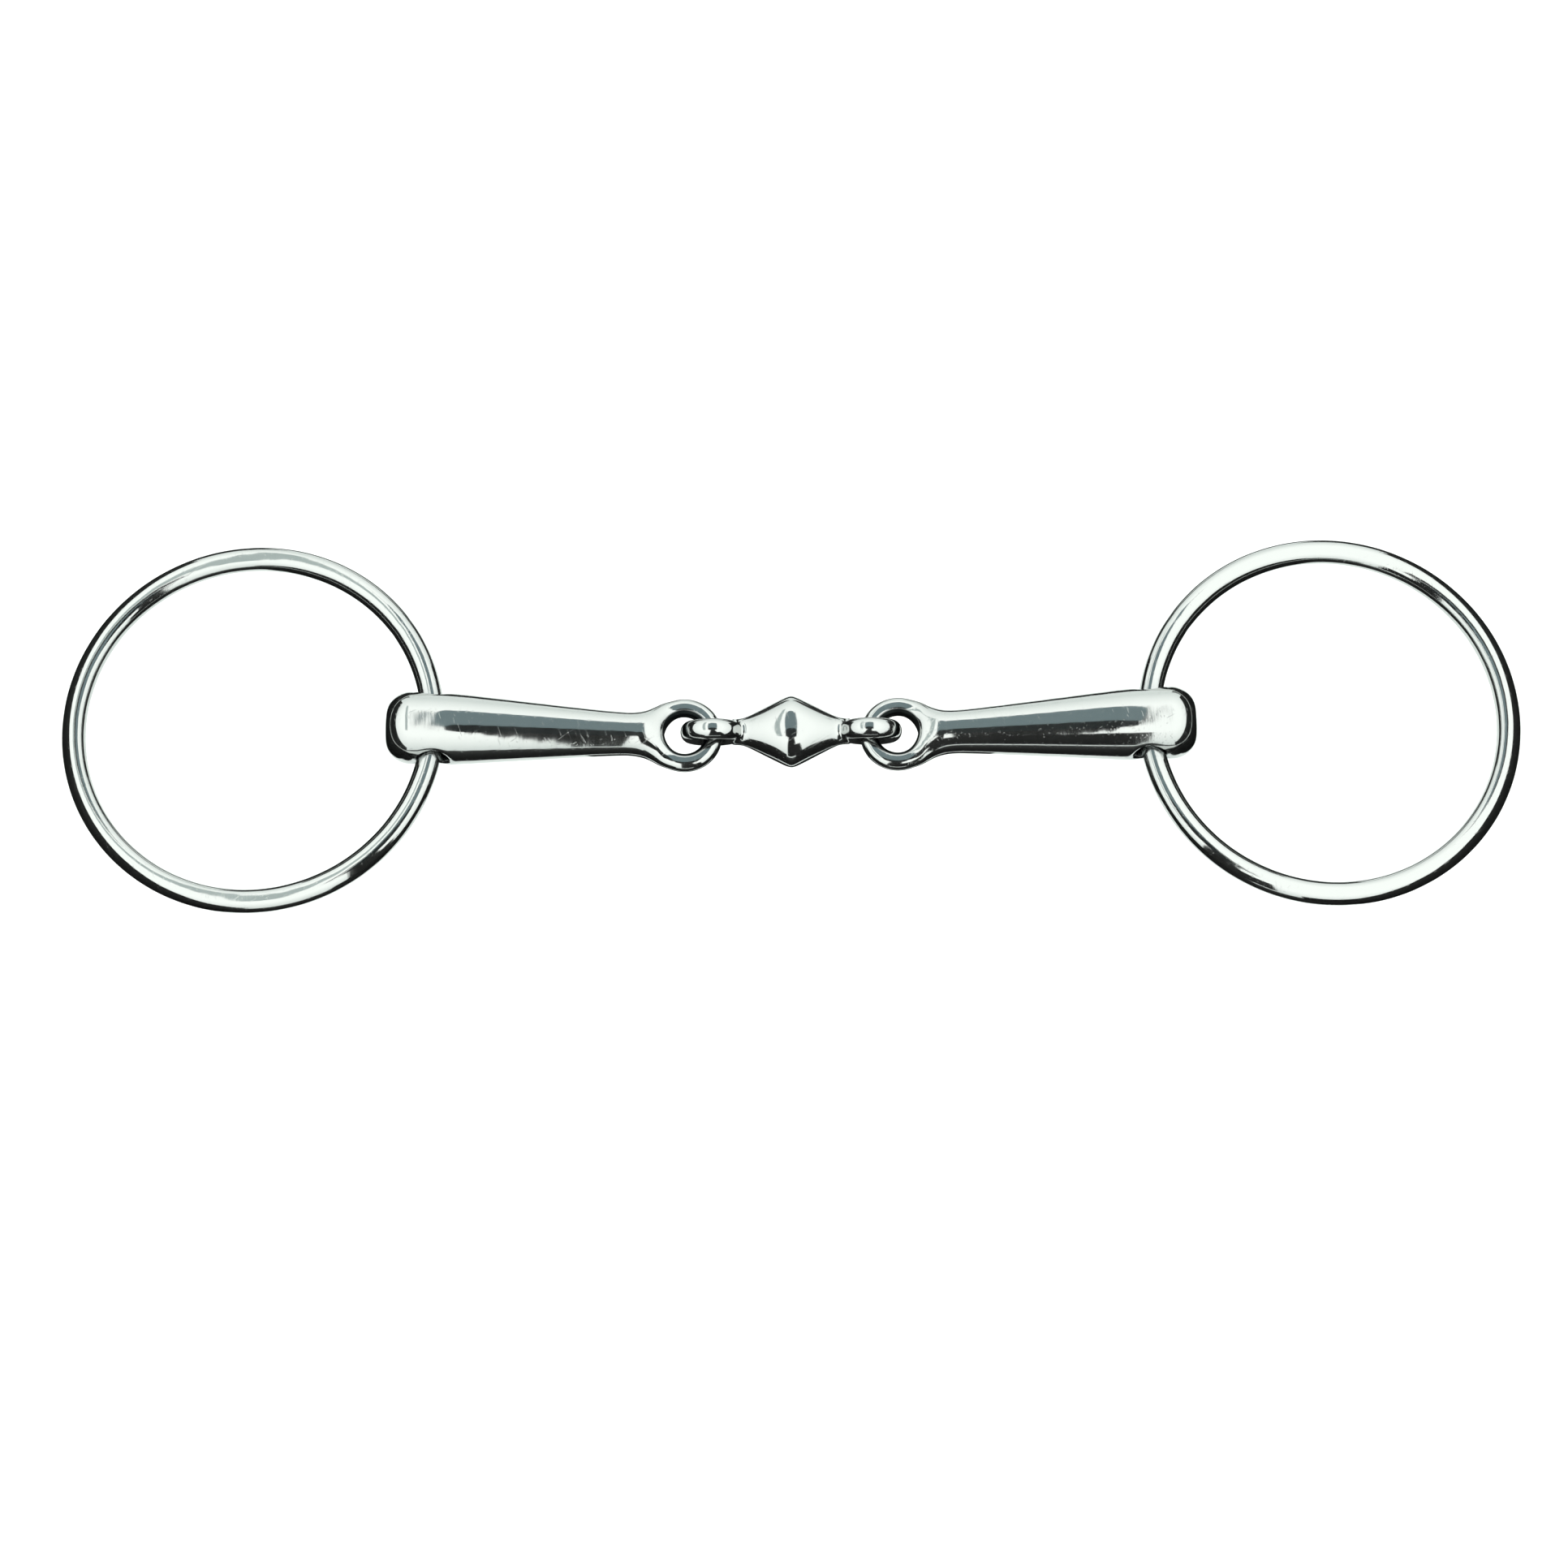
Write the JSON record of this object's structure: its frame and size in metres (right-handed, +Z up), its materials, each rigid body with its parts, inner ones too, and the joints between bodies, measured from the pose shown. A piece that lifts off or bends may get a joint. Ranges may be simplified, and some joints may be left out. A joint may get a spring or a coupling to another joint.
{
  "type": "snaffle bit",
  "caption": "Loose-ring snaffle bit in polished steel: a lozenge-shaped link joins the tapered arms of the mouthpiece, and a free ring runs through the end of each.",
  "frame": {"origin": "on the surface the bit lies on, under the middle of its overall box", "axes": "+X along the mouthpiece towards the right ring, +Y away from the side the lozenge link sags to, +Z up from the surface"},
  "size_m": [0.2464, 0.065, 0.0124],
  "materials": {
    "polished_steel": "mirror-polished stainless steel, solid and not plated"
  },
  "bodies": {
    "lozenge_link": {"lozenge_link": "polished_steel"},
    "left_cannon": {"left_cannon": "polished_steel"},
    "right_cannon": {"right_cannon": "polished_steel"},
    "left_ring": {"left_ring": "polished_steel"},
    "right_ring": {"right_ring": "polished_steel"}
  },
  "joints": [
    {"name": "left_cannon_fold", "type": "hinge", "parent": "lozenge_link", "child": "left_cannon", "pos_m": [-0.018, -0.00203, 0.005], "axis": [-0.0278, 0.0008, -0.9996], "range_deg": [-70, 70]},
    {"name": "right_cannon_fold", "type": "hinge", "parent": "lozenge_link", "child": "right_cannon", "pos_m": [0.018, -0.00203, 0.005], "axis": [-0.0278, -0.0008, 0.9996], "range_deg": [-70, 70]},
    {"name": "left_ring_swing", "type": "hinge", "parent": "left_cannon", "child": "left_ring", "pos_m": [-0.06022, -0.00086, 0.00618], "axis": [0.0279, 0.9996, 0], "range_deg": [-90, 90]},
    {"name": "right_ring_swing", "type": "hinge", "parent": "right_cannon", "child": "right_ring", "pos_m": [0.06022, -0.00086, 0.00618], "axis": [0.0279, -0.9996, 0], "range_deg": [-90, 90]}
  ]
}
